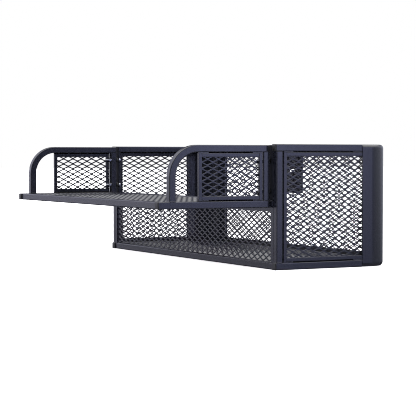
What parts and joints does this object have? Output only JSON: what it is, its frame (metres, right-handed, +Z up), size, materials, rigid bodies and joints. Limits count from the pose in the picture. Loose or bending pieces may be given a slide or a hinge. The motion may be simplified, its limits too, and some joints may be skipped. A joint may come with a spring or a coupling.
{
  "type": "rear drop-basket rack",
  "caption": "Rear cargo rack of an off-road vehicle: a mesh deck between two bent-tube side rails, with a deep mesh basket with rounded rear corners hung behind it.",
  "frame": {"origin": "under the middle of the whole rack, on the surface that the basket stands on", "axes": "+X along the rack to its right end, +Y from the deck to the basket's rear wall, +Z up"},
  "size_m": [1.053, 0.699, 0.33],
  "materials": {
    "black_powder_coat": "semi-gloss black powder coat",
    "coated_mesh": "semi-gloss black powder coat over expanded metal",
    "black_plastic": "fine-grained moulded plastic",
    "black_rubber": "matt",
    "zinc_plate": "bright zinc plate"
  },
  "bodies": {
    "root": {"basket_bottom_side_tube_left": "black_powder_coat", "basket_bottom_side_tube_right": "black_powder_coat", "basket_front_bottom_tube": "black_powder_coat", "basket_front_upper_tube": "black_powder_coat", "basket_rear_bottom_tube": "black_powder_coat", "basket_rear_top_tube": "black_powder_coat", "basket_top_side_tube_left": "black_powder_coat", "basket_top_side_tube_right": "black_powder_coat", "basket_tube_plugs": "black_plastic", "bolt_plate_left": "black_powder_coat", "bolt_plate_right": "black_powder_coat", "bolt_spacers": "black_rubber", "bolts": "zinc_plate", "centre_plate": "black_powder_coat", "corner_cover_left": "black_powder_coat", "corner_cover_right": "black_powder_coat", "corner_joiners_left": "black_powder_coat", "corner_joiners_right": "black_powder_coat", "deck_front_tube": "black_powder_coat", "deck_mesh": "coated_mesh", "deck_rear_tube": "black_powder_coat", "deck_side_tube_left": "black_powder_coat", "deck_side_tube_right": "black_powder_coat", "deck_strap_left": "black_powder_coat", "deck_strap_right": "black_powder_coat", "deck_tube_plugs": "black_plastic", "end_panel_left_frame": "black_powder_coat", "end_panel_left_mesh": "coated_mesh", "end_panel_right_frame": "black_powder_coat", "end_panel_right_mesh": "coated_mesh", "end_spacers_left": "black_powder_coat", "end_spacers_right": "black_powder_coat", "floor_bars": "black_powder_coat", "floor_mesh": "coated_mesh", "front_edge_strip": "black_powder_coat", "front_mesh": "coated_mesh", "front_post_left": "black_powder_coat", "front_post_right": "black_powder_coat", "nuts": "zinc_plate", "rail_panel_left_frame": "black_powder_coat", "rail_panel_left_mesh": "coated_mesh", "rail_panel_right_frame": "black_powder_coat", "rail_panel_right_mesh": "coated_mesh", "rail_spacers_left": "black_powder_coat", "rail_spacers_right": "black_powder_coat", "rail_tube_left": "black_powder_coat", "rail_tube_plugs": "black_plastic", "rail_tube_right": "black_powder_coat", "rail_upright_left": "black_powder_coat", "rail_upright_right": "black_powder_coat", "rear_panel_frame": "black_powder_coat", "rear_panel_mesh": "coated_mesh", "rear_spacers": "black_powder_coat", "washers": "zinc_plate"}
  },
  "joints": []
}
